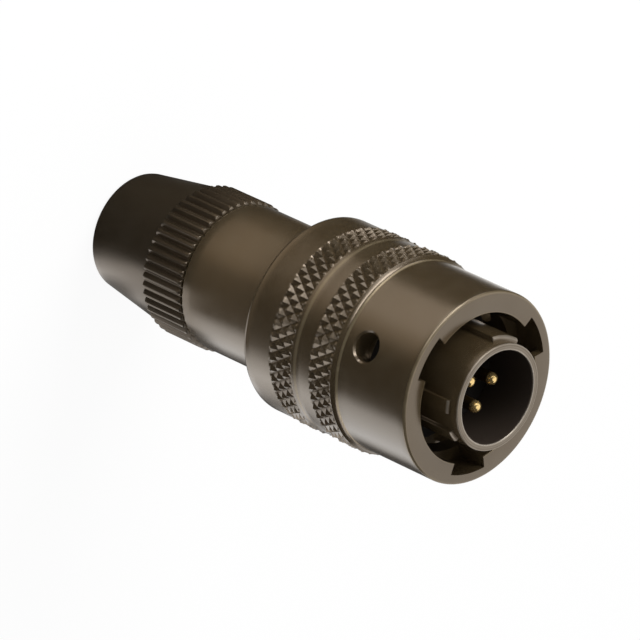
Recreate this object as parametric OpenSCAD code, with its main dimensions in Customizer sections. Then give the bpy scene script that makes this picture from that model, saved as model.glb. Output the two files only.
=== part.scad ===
// Circular bayonet connector: a straight cable plug with pin contacts.
// It stands on the tail of its clamp nut, with the mating end up and the axis on +Z.

/* [Coupling ring] */
// Overall length of the ring
ring_len = 28.2; // [26:0.1:32]
// Diameter of the smooth sleeve at the mating end
sleeve_d = 24.84; // [24.4:0.02:25.4]
// Length of the smooth sleeve
sleeve_len = 11.6; // [11:0.1:13]
// Chamfer round the mating face
face_chamfer = 0.15; // [0.05:0.05:0.4]
// Diameter of the land between the knurled bands
land_d = 25.5; // [25.3:0.05:25.8]
// Length of the slope from the land up to the rear band
land_slope = 0.55; // [0.2:0.05:0.8]
// Diameter of the skirt behind the bands
skirt_d = 25.74; // [25.4:0.02:25.9]
// Diameter of the shoulder's edge in front of the first band
shoulder_d = 25.8; // [25.5:0.05:25.9]
// Length of the hollow shoulder from that edge to the sleeve
shoulder_len = 0.9; // [0.8:0.1:1.4]
// Bore that slides over the mating barrel
bore_d = 19.3; // [18.8:0.05:19.6]
// Bore of the skirt behind the lip
skirt_bore_d = 20.2; // [19.9:0.1:21]
// Thickness of the inner lip that the spring acts on
lip_t = 2.4; // [1.6:0.1:3]
// Distance from the rear end to the lip
lip_back = 11.55; // [10:0.05:13]
// Rounding of the rear edge
rear_round = 0.7; // [0.2:0.1:1]

/* [Diamond knurl] */
// Diameter over the points of the diamonds
knurl_d = 26.1; // [25.9:0.05:26.5]
// Depth of the diamonds
knurl_depth = 0.62; // [0.3:0.02:0.8]
// Number of diamonds round one band
diamonds = 54; // [40:1:70]
// Half rows of diamonds along one band
diamond_rows = 3; // [2:1:5]
// Length of one band
band_len = 3.95; // [3:0.05:5]
// Distance from the front of the first band to the front of the second
band_step = 6.95; // [6:0.05:9]

/* [Bayonet] */
// Number of ramps
ramps = 3; // [2:1:4]
// Diameter of the floor of the slots and ramps
ramp_d = 22.3; // [21:0.1:22.8]
// Width of a ramp along the axis
ramp_w = 3.3; // [2.6:0.1:3.5]
// Width of an entry slot in degrees
slot_angle = 30; // [20:1:40]
// Angle of the first entry slot from +X
slot_at = 161.3; // [0:0.1:360]
// Depth of an entry slot behind the mating face
slot_depth = 4.4; // [3.5:0.1:6]
// Angle that the ring turns from entry to lock
ramp_turn = 111; // [90:1:115]
// Diameter of an inspection hole
hole_d = 3.7; // [3:0.1:4]
// Depth of the countersink round an inspection hole
hole_sink = 0.2; // [0.05:0.05:0.4]
// Distance of the inspection holes behind the mating face
hole_back = 8.4; // [7:0.1:9]

/* [Plug shell] */
// Outside diameter of the barrel
barrel_d = 13.74; // [13:0.02:14.4]
// Wall of the barrel
barrel_wall = 0.84; // [0.6:0.02:1.2]
// Length of the barrel in front of the flange
barrel_len = 13; // [12:0.1:15]
// Radial clearance between the flange and the ring's bore
flange_clear = 0.08; // [0.02:0.01:0.1]
// Thickness of the flange
flange_t = 2; // [1.5:0.1:3]
// Wall of the shell under its rear thread
thread_wall = 1.1; // [0.9:0.05:1.2]
// Height of the neck, which carries the washers and the spring, over the rear thread
neck_step = 0.1; // [0.05:0.05:0.3]
// Length of the rear thread
thread_len = 7.5; // [6.5:0.1:9]
// Bore of the rear part, which holds the insert
shell_bore_d = 12.8; // [12.5:0.1:13]
// Length of the insert's thick part in the rear bore
insert_seat_len = 10; // [8:0.1:12]
// Chamfer on both edges of the barrel's rim
rim_chamfer = 0.12; // [0.05:0.01:0.25]
// Distance of the keys behind the barrel's rim
key_back = 1.2; // [0.8:0.1:2]
// Height of the main key over the barrel
main_key_h = 0.62; // [0.4:0.02:0.8]
// Width of the main key
main_key_w = 4.4; // [3.5:0.1:5]
// Height of the narrow keys over the barrel
key_h = 0.5; // [0.3:0.02:0.7]
// Width of the narrow keys
key_w = 1.7; // [1.2:0.1:2.2]
// Chamfer on the front of the keys
key_chamfer = 0.25; // [0.1:0.05:0.3]

/* [Ring retention] */
// Thickness of the snap ring
snap_t = 0.8; // [0.6:0.05:1]
// Depth of the snap ring's groove
snap_groove = 0.45; // [0.3:0.05:0.5]
// Height of the snap ring over the neck
snap_stand = 1.1; // [0.8:0.1:1.4]
// Gap in the snap ring in degrees
snap_gap = 36; // [20:1:60]
// Thickness of the washers on the neck
washer_t = 0.6; // [0.4:0.05:0.8]
// Free height of the wave spring
spring_h = 2; // [1.6:0.1:2.4]
// Thickness of the spring strip
spring_t = 0.4; // [0.25:0.05:0.6]
// Number of waves
spring_waves = 3; // [2:1:5]
// Thickness of the gasket in front of the flange
gasket_t = 1.2; // [0.8:0.1:1.6]

/* [Contacts] */
// Diameter of a pin
pin_d = 1.575; // [1:0.025:1.8]
// Radius of the circle that the pins stand on
pin_circle = 2.285; // [2.1:0.005:2.6]
// Angle of the first pin from +X
pin_at = 36; // [0:1:120]
// Distance of the pin tips behind the barrel's rim
pin_back = 2.6; // [2:0.1:4]
// Depth of the face seal behind the barrel's rim
face_depth = 7.6; // [6.5:0.1:9]
// Thickness of the face seal
seal_t = 0.9; // [0.6:0.1:1.4]
// Height of the bosses round the pins
boss_h = 0.8; // [0.4:0.1:1.2]
// Diameter of a boss at its foot
boss_d = 3.2; // [2.8:0.1:3.6]
// Double wall of a boss at its top
boss_wall = 0.7; // [0.4:0.1:1]
// Outside diameter of a solder cup
cup_d = 2.5; // [2:0.05:2.8]
// Bore of a solder cup
cup_bore = 1.8; // [1.4:0.05:2]
// Length of a solder cup behind the insert
cup_len = 6; // [5:0.1:7]
// Depth of a solder cup's bore
cup_depth = 4.2; // [3.5:0.1:4.8]
// Length of a solder cup's open side
cup_open = 3; // [2:0.1:3.4]
// Diameter of a contact's collar inside the insert
collar_d = 3; // [2.7:0.05:3.2]
// Length of that collar
collar_len = 1.2; // [0.8:0.1:2]
// Length of the insert's retainer
retainer_len = 1.4; // [1:0.1:2]
// Wall of the insert's retainer
retainer_wall = 1.1; // [0.8:0.1:1.6]

/* [Backshell] */
// Outside diameter of the backshell
backshell_d = 19.26; // [18.8:0.02:19.4]
// Length of the backshell in front of the nut
backshell_len = 23.4; // [21:0.1:26]
// Depth of the thread that takes the shell
socket_len = 6.1; // [5:0.1:7]
// Diameter of the wiring chamber
chamber_d = 14; // [13.4:0.1:14.4]
// Diameter of the spigot that takes the nut
spigot_d = 16; // [15.4:0.1:16.4]
// Length of that spigot
spigot_len = 10; // [9:0.1:11]
// Diameter of the gland bore
gland_bore_d = 12.8; // [12:0.1:13]
// Depth of the gland bore
gland_depth = 6.3; // [5.5:0.1:7.5]
// Wall between gland bore and chamber
web_t = 0.9; // [0.6:0.1:1.5]
// Chamfer on the backshell's outer edges
backshell_edge = 0.3; // [0.1:0.05:0.5]
// Section of the O-ring between shell and backshell
o_ring_d = 1.3; // [1.1:0.05:1.35]

/* [Clamp nut] */
// Overall length of the nut
nut_len = 19.15; // [18.2:0.05:22]
// Diameter of the tail at its end
tail_d = 15.3; // [14:0.1:16]
// Diameter of the tail where the knurl starts
tail_top_d = 18.95; // [18.4:0.05:19.4]
// Rounding of the tail's end
tail_round = 1; // [0.4:0.1:1.6]
// Length of the straight knurl
ridge_len = 6.9; // [5:0.1:8]
// Diameter over the ridges of the knurl
ridge_d = 20; // [19.7:0.05:20.4]
// Depth of the grooves between the ridges
ridge_depth = 0.55; // [0.3:0.05:0.7]
// Number of ridges
ridges = 50; // [30:1:60]
// Width of a ridge at its top, as a share of the pitch
ridge_top = 0.24; // [0.1:0.02:0.5]
// Width of a ridge at its foot, as a share of the pitch
ridge_foot = 0.88; // [0.7:0.02:0.95]
// Chamfer at both ends of the ridges
ridge_chamfer = 0.35; // [0.1:0.05:0.5]
// Diameter of the cable entry
cable_d = 8.2; // [6:0.1:9]
// Chamfer at the mouth of the cable entry
entry_chamfer = 0.5; // [0.2:0.1:1]
// Thickness of the nut's end wall
end_wall = 3; // [2:0.1:4]
// Radial room round the bush in the nut's pocket
pocket_gap = 0.3; // [0.2:0.05:0.5]
// Room between the end of the spigot and the end of the nut's thread
thread_relief = 0.8; // [0.5:0.1:1.2]

/* [Cable gland] */
// Thickness of the follower's flange
follower_t = 1.2; // [0.8:0.1:1.8]
// Length of the follower's nose
follower_nose = 2.75; // [2:0.05:3.5]
// Thickness of the washer at the bottom of the gland bore
gland_washer_t = 0.8; // [0.5:0.1:1.2]

/* [Clearances] */
// Axial gap between pieces that turn on each other
run_gap = 0.05; // [0.02:0.01:0.1]
// Radial gap of a seated piece
seat_gap = 0.03; // [0.01:0.01:0.06]
// Radial gap of the spring and its washer in the ring
spring_clear = 0.16; // [0.1:0.01:0.3]
// Radial gap of a running thread
thread_gap = 0.08; // [0.03:0.01:0.1]

/* [Hidden] */
$fn = 96;
// Overshoot of a cut past the face that it opens
cut = 1;
// Keys of the barrel from the main key, counted from the mating end
main_key_at = 90;
key_angles = [105, 140, 215, 265];
// Steps of a swept ramp, of its entry slot and of the wave spring
ramp_steps = 18;
slot_steps = 5;
// Angle over which a ramp opens into its slot, and by which it runs past its inspection hole
edge_angle = 0.1;
ramp_over = 4;
spring_steps = 72;

// Heights from the tail upwards
backshell_z = nut_len + run_gap;
spigot_z = backshell_z - spigot_len;
gland_top = spigot_z + gland_depth;
backshell_top = backshell_z + backshell_len;
shell_z = backshell_top - socket_len;
snap_z = shell_z + thread_len;
back_washer_z = snap_z + snap_t;
lip_z = back_washer_z + washer_t + run_gap;
thrust_z = lip_z + lip_t + run_gap;
spring_z = thrust_z + washer_t;
flange_z = spring_z + spring_h;
flange_top = flange_z + flange_t;
rim_z = flange_top + barrel_len;
ring_z = lip_z - lip_back;
face_z = ring_z + ring_len;
sleeve_z = face_z - sleeve_len;
hole_z = face_z - hole_back;
slot_z = face_z - slot_depth;
band_a_z = sleeve_z - shoulder_len - band_len;
band_b_z = band_a_z - band_step;
seal_z = rim_z - face_depth - seal_t;
step_z = flange_z + flange_t / 2;
insert_z = step_z - insert_seat_len;
cup_z = insert_z - cup_len;
follower_z = end_wall + run_gap;
bush_z = follower_z + follower_t + follower_nose + run_gap;
gland_washer_z = gland_top - gland_washer_t;

// Radii that several pieces share
barrel_bore_d = barrel_d - 2 * barrel_wall;
thread_d = shell_bore_d + 2 * thread_wall;
neck_d = thread_d + 2 * neck_step;
flange_d = bore_d - 2 * flange_clear;
neck_fit_d = neck_d + 2 * seat_gap;
pocket_d = gland_bore_d + 2 * pocket_gap;
pin_angles = [for (i = [0:2]) pin_at + 120 * i];

// Points on an arc, by radius, centre and two angles
function arc(r, c, a0, a1, n = 8) =
    [for (i = [0:n]) c + r * [cos(a0 + (a1 - a0) * i / n), sin(a0 + (a1 - a0) * i / n)]];

// Point on a circle round the axis
function polar(r, a, z) = [r * cos(a), r * sin(a), z];

// Side faces between rings of n points, split along the diamonds' edges
function skin_faces(n, rings) = [
    for (j = [0:rings - 2], i = [0:n - 1])
        let (a = j * n + i, b = j * n + (i + 1) % n, even = (i + j) % 2 == 0)
            each even ? [[a, b, b + n], [a, b + n, a + n]]
                      : [[a, b, a + n], [b, b + n, a + n]]];

module tube(d_out, d_in, z, h) {
    difference() {
        translate([0, 0, z]) cylinder(d = d_out, h = h);
        translate([0, 0, z - cut]) cylinder(d = d_in, h = h + 2 * cut);
    }
}

// A drum of diamonds: points and groove crossings take turns along and round it,
// and both its ends run out to the radius of the plain metal there
module diamond_drum(z, behind, ahead) {
    n = 2 * diamonds;
    tip = knurl_d / 2;
    root = tip - knurl_depth;
    lead = knurl_depth / 2;
    pitch = (band_len - 2 * lead) / diamond_rows;
    heights = [0, for (j = [0:diamond_rows]) lead + j * pitch, band_len];
    rings = len(heights);
    last = rings - 1;
    points = [
        for (j = [0:last], i = [0:n - 1])
            let (end = (j == 0 ? behind : ahead) - seat_gap,
                 diamond = (i + j) % 2 == 0 ? root : tip,
                 r = j == 0 || j == last ? end : diamond)
                polar(r, 360 * i / n, z + heights[j])];
    ends = [[for (i = [n - 1:-1:0]) i], [for (i = [0:n - 1]) last * n + i]];
    faces = concat(skin_faces(n, rings), ends);
    polyhedron(points, [for (f = faces) [for (k = [len(f) - 1:-1:0]) f[k]]]);
}

// Low and high edge of a bayonet groove at a share t of its way from the inspection hole:
// a ramp that climbs, then the entry slot, which is open to the mating face
function groove_edges(t) =
    t <= 1 ? let (z = hole_z + (slot_z + ramp_w / 2 - hole_z) * t) [z - ramp_w / 2, z + ramp_w / 2]
           : [slot_z, face_z + cut];

// One bayonet groove, swept from its inspection hole forward through its entry slot
module bayonet_groove(at) {
    inner = bore_d / 2 - cut;
    outer = ramp_d / 2;
    end = -ramp_turn - ramp_over;
    mouth = -slot_angle / 2;
    climb = mouth - end;
    way = concat(
        [for (k = [0:ramp_steps]) [k / ramp_steps, end + climb * k / ramp_steps]],
        [for (k = [0:slot_steps])
            [2, mouth + edge_angle + (slot_angle - edge_angle) * k / slot_steps]]);
    points = [
        for (w = way)
            let (z = groove_edges(w[0]), a = at + w[1])
                each [polar(inner, a, z[0]), polar(outer, a, z[0]),
                      polar(outer, a, z[1]), polar(inner, a, z[1])]];
    last = 4 * (len(way) - 1);
    sides = [
        for (k = [0:len(way) - 2], i = [0:3])
            let (a = 4 * k + i, b = 4 * k + (i + 1) % 4)
                each [[a, b, b + 4], [a, b + 4, a + 4]]];
    polyhedron(points, concat(sides, [[3, 2, 1, 0], [last, last + 1, last + 2, last + 3]]));
}

// A hole from the bore out through the sleeve, countersunk at the sleeve
module inspection_hole(at) {
    rotate([0, 0, at])
        translate([0, 0, hole_z])
            rotate([0, 90, 0]) {
                translate([0, 0, bore_d / 2 - cut]) cylinder(d = hole_d, h = knurl_d / 2);
                translate([0, 0, sleeve_d / 2 - hole_sink])
                    cylinder(d1 = hole_d, d2 = hole_d + 4 * hole_sink, h = 2 * hole_sink);
            }
}

// Outline of the ring from its rear edge to the mating face, sunk under the two bands
function ring_outline() =
    let (land = land_d / 2, skirt = skirt_d / 2, sleeve = sleeve_d / 2,
         core = knurl_d / 2 - knurl_depth - seat_gap,
         step = shoulder_d / 2 - sleeve,
         hollow = (step * step + shoulder_len * shoulder_len) / (2 * step),
         sweep = asin(shoulder_len / hollow))
        concat(
            arc(rear_round, [skirt - rear_round, ring_z + rear_round], -90, 0),
            [[skirt, band_b_z], [core, band_b_z], [core, band_b_z + band_len],
             [skirt, band_b_z + band_len], [land, band_b_z + band_len + land_slope],
             [land, band_a_z], [core, band_a_z], [core, band_a_z + band_len]],
            arc(hollow, [sleeve + hollow, sleeve_z], 180 + sweep, 180),
            [[sleeve, face_z - face_chamfer], [sleeve - face_chamfer, face_z]]);

module coupling_ring() {
    bore = bore_d / 2;
    lip = neck_fit_d / 2;
    color([0.25, 0.22, 0.16])
        difference() {
            union() {
                rotate_extrude()
                    polygon(concat([[0, ring_z]], ring_outline(), [[0, face_z]]));
                diamond_drum(band_a_z, land_d / 2, shoulder_d / 2);
                diamond_drum(band_b_z, skirt_d / 2, skirt_d / 2);
            }
            translate([0, 0, ring_z - cut]) cylinder(d = skirt_bore_d, h = lip_back + cut);
            translate([0, 0, ring_z]) cylinder(r = lip, h = ring_len);
            translate([0, 0, lip_z + lip_t]) cylinder(r = bore, h = ring_len);
            for (i = [0:ramps - 1]) {
                at = slot_at + 360 / ramps * i;
                bayonet_groove(at);
                inspection_hole(at - ramp_turn);
            }
        }
}

// A key with a round top and a chamfered front
module key(at, w, h) {
    r = barrel_d / 2 + h;
    front = rim_z - key_back;
    intersection() {
        rotate([0, 0, at])
            translate([0, -w / 2, flange_z]) cube([r + cut, w, rim_z - flange_z]);
        rotate_extrude()
            polygon([
                [0, flange_top], [r, flange_top], [r, front - key_chamfer],
                [r - key_chamfer, front], [0, front]]);
    }
}

module plug_shell() {
    color([0.28, 0.25, 0.19])
        difference() {
            union() {
                translate([0, 0, shell_z]) cylinder(d = thread_d, h = thread_len);
                translate([0, 0, snap_z]) cylinder(d = neck_d - 2 * snap_groove, h = snap_t);
                translate([0, 0, back_washer_z]) cylinder(d = neck_d, h = flange_z - back_washer_z);
                translate([0, 0, flange_z]) cylinder(d = flange_d, h = flange_t);
                translate([0, 0, flange_top]) cylinder(d = barrel_d, h = barrel_len - rim_chamfer);
                translate([0, 0, rim_z - rim_chamfer])
                    cylinder(d1 = barrel_d, d2 = barrel_d - 2 * rim_chamfer, h = rim_chamfer);
                key(main_key_at, main_key_w, main_key_h);
                for (a = key_angles) key(main_key_at + a, key_w, key_h);
            }
            translate([0, 0, shell_z - cut]) cylinder(d = shell_bore_d, h = step_z - shell_z + cut);
            translate([0, 0, shell_z]) cylinder(d = barrel_bore_d, h = rim_z - shell_z + cut);
            translate([0, 0, rim_z - rim_chamfer])
                cylinder(d1 = barrel_bore_d, d2 = barrel_bore_d + 4 * rim_chamfer, h = 2 * rim_chamfer);
        }
}

module washer(z, d_out) {
    tube(d_out, neck_fit_d, z, washer_t);
}

module thrust_washer() {
    color([0.62, 0.6, 0.56]) washer(thrust_z, bore_d - 2 * spring_clear);
}

module back_washer() {
    color([0.62, 0.6, 0.56]) washer(back_washer_z, neck_d + 2 * snap_stand);
}

// A flat strip whose height swings round the axis in a few waves
module wave_spring() {
    swing = (spring_h - spring_t) / 2;
    inner = neck_d / 2 + spring_clear;
    outer = bore_d / 2 - spring_clear;
    points = [
        for (k = [0:spring_steps - 1])
            let (a = 360 * k / spring_steps, z = spring_z + swing * (1 - cos(spring_waves * a)))
                each [polar(inner, a, z), polar(outer, a, z),
                      polar(outer, a, z + spring_t), polar(inner, a, z + spring_t)]];
    total = 4 * spring_steps;
    faces = [
        for (k = [0:spring_steps - 1], i = [0:3])
            let (a = 4 * k + i, b = 4 * k + (i + 1) % 4, c = (b + 4) % total, d = (a + 4) % total)
                each [[a, b, c], [a, c, d]]];
    color([0.66, 0.64, 0.6]) polyhedron(points, faces);
}

module retaining_ring() {
    inner = neck_d / 2 - snap_groove + seat_gap;
    color([0.55, 0.53, 0.5])
        rotate([0, 0, snap_gap / 2])
            rotate_extrude(angle = 360 - snap_gap)
                translate([inner, snap_z + seat_gap])
                    square([neck_d / 2 + snap_stand - inner, snap_t - 2 * seat_gap]);
}

module shell_gasket() {
    clear = max(main_key_h, key_h) + seat_gap;
    color([0.1, 0.09, 0.08])
        tube(flange_d - 2 * seat_gap, barrel_d + 2 * clear, flange_top, gasket_t);
}

module pin_holes(gap) {
    for (a = pin_angles)
        rotate([0, 0, a])
            translate([pin_circle, 0, 0])
                rotate_extrude() polygon(contact_outline(gap));
}

// Outline of a contact from its cup to its rounded tip, grown by a gap for its hole
function contact_outline(gap) =
    let (pin = pin_d / 2 + gap, cup = cup_d / 2 + gap, collar = collar_d / 2 + gap,
         mid = (insert_z + seal_z) / 2, tip = rim_z - pin_back - pin_d / 2)
        concat(
            [[0, cup_z], [cup, cup_z], [cup, mid - gap], [collar, mid - gap],
             [collar, mid + collar_len + gap], [pin, mid + collar_len + gap]],
            arc(pin, [0, tip], 0, 90));

module contact(i) {
    color([0.9, 0.72, 0.32])
        rotate([0, 0, pin_angles[i]])
            translate([pin_circle, 0, 0])
                difference() {
                    rotate_extrude() polygon(contact_outline(0));
                    translate([0, 0, cup_z - cut]) cylinder(d = cup_bore, h = cup_depth + cut);
                    translate([0, -cup_d, cup_z - cut]) cube([cup_d, 2 * cup_d, cup_open + cut]);
                }
}

module pin_a() { contact(0); }
module pin_b() { contact(1); }
module pin_c() { contact(2); }

module pin_insert() {
    color([0.13, 0.11, 0.1])
        difference() {
            union() {
                translate([0, 0, insert_z])
                    cylinder(d = shell_bore_d - 2 * seat_gap, h = insert_seat_len - seat_gap);
                translate([0, 0, insert_z])
                    cylinder(d = barrel_bore_d - 2 * seat_gap, h = seal_z - insert_z);
            }
            pin_holes(seat_gap);
        }
}

module interfacial_seal() {
    color([0.09, 0.08, 0.08])
        difference() {
            union() {
                translate([0, 0, seal_z])
                    cylinder(d = barrel_bore_d - 2 * seat_gap, h = seal_t);
                for (a = pin_angles)
                    rotate([0, 0, a])
                        translate([pin_circle, 0, seal_z + seal_t / 2])
                            cylinder(d1 = boss_d, d2 = pin_d + boss_wall, h = seal_t / 2 + boss_h);
            }
            pin_holes(seat_gap);
        }
}

module insert_retainer() {
    d = shell_bore_d - 2 * seat_gap;
    color([0.6, 0.57, 0.5])
        tube(d, d - 2 * retainer_wall, insert_z - retainer_len, retainer_len);
}

module backshell_o_ring() {
    color([0.1, 0.09, 0.08])
        translate([0, 0, (backshell_top + snap_z) / 2])
            rotate_extrude()
                translate([thread_d / 2 + o_ring_d / 2 + seat_gap, 0]) circle(d = o_ring_d);
}

module backshell() {
    edge = backshell_edge;
    body = backshell_d / 2;
    color([0.27, 0.24, 0.17])
        difference() {
            rotate_extrude()
                polygon([
                    [0, spigot_z], [spigot_d / 2 - edge, spigot_z], [spigot_d / 2, spigot_z + edge],
                    [spigot_d / 2, backshell_z], [body - edge, backshell_z], [body, backshell_z + edge],
                    [body, backshell_top - edge], [body - edge, backshell_top], [0, backshell_top]]);
            translate([0, 0, spigot_z - cut]) cylinder(d = gland_bore_d, h = gland_depth + cut);
            translate([0, 0, spigot_z]) cylinder(d = cable_d + 2 * seat_gap, h = spigot_len);
            translate([0, 0, gland_top + web_t]) cylinder(d = chamber_d, h = backshell_top);
            translate([0, 0, shell_z]) cylinder(d = thread_d + 2 * seat_gap, h = socket_len + cut);
        }
}

module gland_ring(d_out, z, h) {
    tube(d_out - 2 * seat_gap, cable_d + 2 * seat_gap, z, h);
}

module gland_washer() {
    color([0.6, 0.57, 0.5]) gland_ring(gland_bore_d, gland_washer_z, gland_washer_t);
}

module gland_bush() {
    color([0.1, 0.09, 0.08]) gland_ring(gland_bore_d, bush_z, gland_washer_z - bush_z);
}

module slip_washer() {
    flange = pocket_d / 2 - thread_gap;
    nose = gland_bore_d / 2 - thread_gap;
    color([0.6, 0.57, 0.5])
        difference() {
            union() {
                translate([0, 0, follower_z]) cylinder(r = flange, h = follower_t);
                translate([0, 0, follower_z]) cylinder(r = nose, h = follower_t + follower_nose);
            }
            translate([0, 0, follower_z - cut])
                cylinder(d = cable_d + 2 * seat_gap, h = follower_t + follower_nose + 2 * cut);
        }
}

// Ridges and grooves of the straight knurl, as one star-shaped outline
module ridge_star() {
    tip = ridge_d / 2;
    root = tip - ridge_depth;
    pitch = 360 / ridges;
    corners = [[root, -ridge_foot], [tip, -ridge_top], [tip, ridge_top], [root, ridge_foot]];
    polygon([
        for (i = [0:ridges - 1], c = corners)
            let (a = pitch * (i + c[1] / 2)) c[0] * [cos(a), sin(a)]]);
}

module clamp_nut() {
    tail = tail_d / 2;
    ridge_z = nut_len - ridge_len;
    root = ridge_d / 2 - ridge_depth;
    lean = atan((tail_top_d - tail_d) / 2 / ridge_z);
    color([0.26, 0.23, 0.17])
        difference() {
            union() {
                rotate_extrude()
                    polygon(concat(
                        [[0, 0]],
                        arc(tail_round, [tail - tail_round, tail_round], -90, -lean),
                        [[tail_top_d / 2, ridge_z], [tail_top_d / 2, nut_len], [0, nut_len]]));
                intersection() {
                    translate([0, 0, ridge_z]) linear_extrude(ridge_len) ridge_star();
                    rotate_extrude()
                        polygon([
                            [0, ridge_z], [root, ridge_z], [root + ridge_depth, ridge_z + ridge_chamfer],
                            [root + ridge_depth, nut_len - ridge_chamfer], [root, nut_len], [0, nut_len]]);
                }
            }
            translate([0, 0, -cut]) cylinder(d = cable_d, h = nut_len);
            translate([0, 0, -entry_chamfer])
                cylinder(d1 = cable_d + 4 * entry_chamfer, d2 = cable_d, h = 2 * entry_chamfer);
            translate([0, 0, end_wall]) cylinder(d = pocket_d, h = nut_len);
            translate([0, 0, spigot_z - thread_relief]) cylinder(d = spigot_d + 2 * thread_gap, h = nut_len);
        }
}

plug_shell();
coupling_ring();
wave_spring();
thrust_washer();
back_washer();
retaining_ring();
shell_gasket();
pin_insert();
interfacial_seal();
pin_a();
pin_b();
pin_c();
insert_retainer();
backshell_o_ring();
backshell();
gland_washer();
gland_bush();
slip_washer();
clamp_nut();
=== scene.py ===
"""Circular bayonet connector plug: fine forms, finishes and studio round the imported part."""

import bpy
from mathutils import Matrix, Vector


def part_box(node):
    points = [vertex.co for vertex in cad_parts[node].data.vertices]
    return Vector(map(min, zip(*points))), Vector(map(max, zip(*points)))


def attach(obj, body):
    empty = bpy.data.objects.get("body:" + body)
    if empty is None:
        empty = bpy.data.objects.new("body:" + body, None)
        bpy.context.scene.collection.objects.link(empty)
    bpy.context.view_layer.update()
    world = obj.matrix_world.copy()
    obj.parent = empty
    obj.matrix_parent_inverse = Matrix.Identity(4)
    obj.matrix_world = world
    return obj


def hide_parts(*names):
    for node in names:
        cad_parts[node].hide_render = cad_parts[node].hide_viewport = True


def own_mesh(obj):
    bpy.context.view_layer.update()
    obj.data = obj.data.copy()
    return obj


bl_info = {
    "name": "Bayonet Connector Plug",
    "version": (1, 0, 0),
    "blender": (4, 5, 0),
    "location": "View3D > Sidebar > Connector",
    "description": "Builds the fine forms, finishes and studio of a circular bayonet cable plug",
    "category": "Add Mesh",
}

import math

import bmesh
import bpy
import numpy as np
from bpy.props import FloatProperty, FloatVectorProperty, IntProperty, PointerProperty
from mathutils import Matrix, Vector

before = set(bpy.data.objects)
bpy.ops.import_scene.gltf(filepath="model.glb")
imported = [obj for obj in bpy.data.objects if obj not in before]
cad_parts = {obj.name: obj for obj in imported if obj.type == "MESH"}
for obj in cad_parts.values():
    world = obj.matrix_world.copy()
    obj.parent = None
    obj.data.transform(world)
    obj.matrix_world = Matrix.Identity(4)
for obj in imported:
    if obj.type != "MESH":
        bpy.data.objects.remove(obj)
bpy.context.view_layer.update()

MM = 0.001
RING_LOW, RING_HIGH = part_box("coupling_ring")
SHELL_LOW, SHELL_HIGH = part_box("plug_shell")
BACKSHELL_LOW, BACKSHELL_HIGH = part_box("backshell")
NUT_LOW, NUT_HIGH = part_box("clamp_nut")
SEAL_LOW, SEAL_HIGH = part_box("interfacial_seal")
SPRING_LOW, SPRING_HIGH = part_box("wave_spring")
# Edges that turn by more than this stay crisp
SHARP = math.radians(30)
# Longest sides of the turned meshes
FINE, COARSE = 1.2 * MM, 1.5 * MM
# Columns of a plain turned mesh
AROUND = 240
# Narrow keys of the barrel, in degrees from the main key
NARROW_KEYS = (105, 140, 215, 265)
# Brightness of a card where it is all but black
DARK = 0.02


def length(name, description, millimetres):
    """A length property whose default is given in millimetres."""
    return FloatProperty(name=name, description=description, default=millimetres * MM,
                         unit="LENGTH", subtype="DISTANCE", precision=5)


def angle(name, description, degrees):
    """An angle property whose default is given in degrees."""
    return FloatProperty(name=name, description=description, default=math.radians(degrees),
                         unit="ROTATION", subtype="ANGLE")


def colour(name, description, rgb):
    """A linear colour property."""
    return FloatVectorProperty(name=name, description=description, default=rgb, size=3,
                               subtype="COLOR", min=0, max=1)


def share(name, description, value):
    """A plain number between nothing and all."""
    return FloatProperty(name=name, description=description, default=value, subtype="FACTOR", min=0, max=1)


class RingSizes(bpy.types.PropertyGroup):
    """Sizes of the coupling ring."""
    sleeve_r: length("Sleeve radius", "Radius of the smooth sleeve", 12.42)
    sleeve_len: length("Sleeve length", "Length of the smooth sleeve", 11.6)
    shoulder_r: length("Shoulder radius", "Edge of the hollow in front of the first band", 12.9)
    shoulder_len: length("Shoulder length", "Length of that hollow", 0.9)
    land_r: length("Land radius", "Radius between the two bands", 12.75)
    land_slope: length("Land slope", "Slope from the land up to the rear band", 0.55)
    skirt_r: length("Skirt radius", "Radius behind the bands", 12.87)
    rear_round: length("Rear rounding", "Rounding of the rear edge", 0.7)
    edge: length("Edge rounding", "Rounding of the turned edges", 0.15)
    face_round: length("Face rounding", "Rounding of the sleeve's front edge", 0.35)
    bore_r: length("Bore radius", "Bore at the mating end", 9.65)
    skirt_bore_r: length("Skirt bore radius", "Bore behind the lip", 10.1)
    lip_bore_r: length("Lip bore radius", "Bore of the inner lip", 7.63)
    lip_back: length("Lip distance", "From the rear end to the lip", 11.55)
    lip_t: length("Lip thickness", "Thickness of the inner lip", 2.4)
    knurl_r: length("Knurl radius", "Radius over the diamonds", 13.05)
    knurl_depth: length("Knurl depth", "Depth of the diamonds", 0.42)
    knurl_lead: length("Knurl lead", "Run-out at both ends of a band", 0.31)
    diamonds: IntProperty(name="Diamonds", description="Diamonds round one band", default=54)
    half_rows: IntProperty(name="Half rows", description="Half rows of diamonds in a band", default=3)
    tip_flat: share("Tip flat", "Part of a diamond's height that its flat tip takes off", 0.1)
    band_len: length("Band length", "Length of one band", 3.95)
    band_step: length("Band step", "From one band to the next", 6.95)
    slot_at: angle("Slot angle", "Where the first entry slot stands", 161.3)
    slot_width: angle("Slot width", "Width of an entry slot", 30)
    slot_depth: length("Slot depth", "Depth of an entry slot", 4.4)
    ramp_r: length("Ramp radius", "Radius of the floor of slots and ramps", 11.15)
    ramp_w: length("Ramp width", "Width of a ramp along the axis", 3.3)
    ramp_turn: angle("Ramp turn", "Turn from entry to lock", 111)
    ramp_over: angle("Ramp run-out", "How far a ramp runs past its hole", 4)
    hole_r: length("Hole radius", "Radius of an inspection hole", 1.85)
    hole_back: length("Hole distance", "Inspection holes behind the mating face", 8.4)
    hole_chamfer: length("Hole chamfer", "Chamfer of the inspection holes", 0.24)


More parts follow.
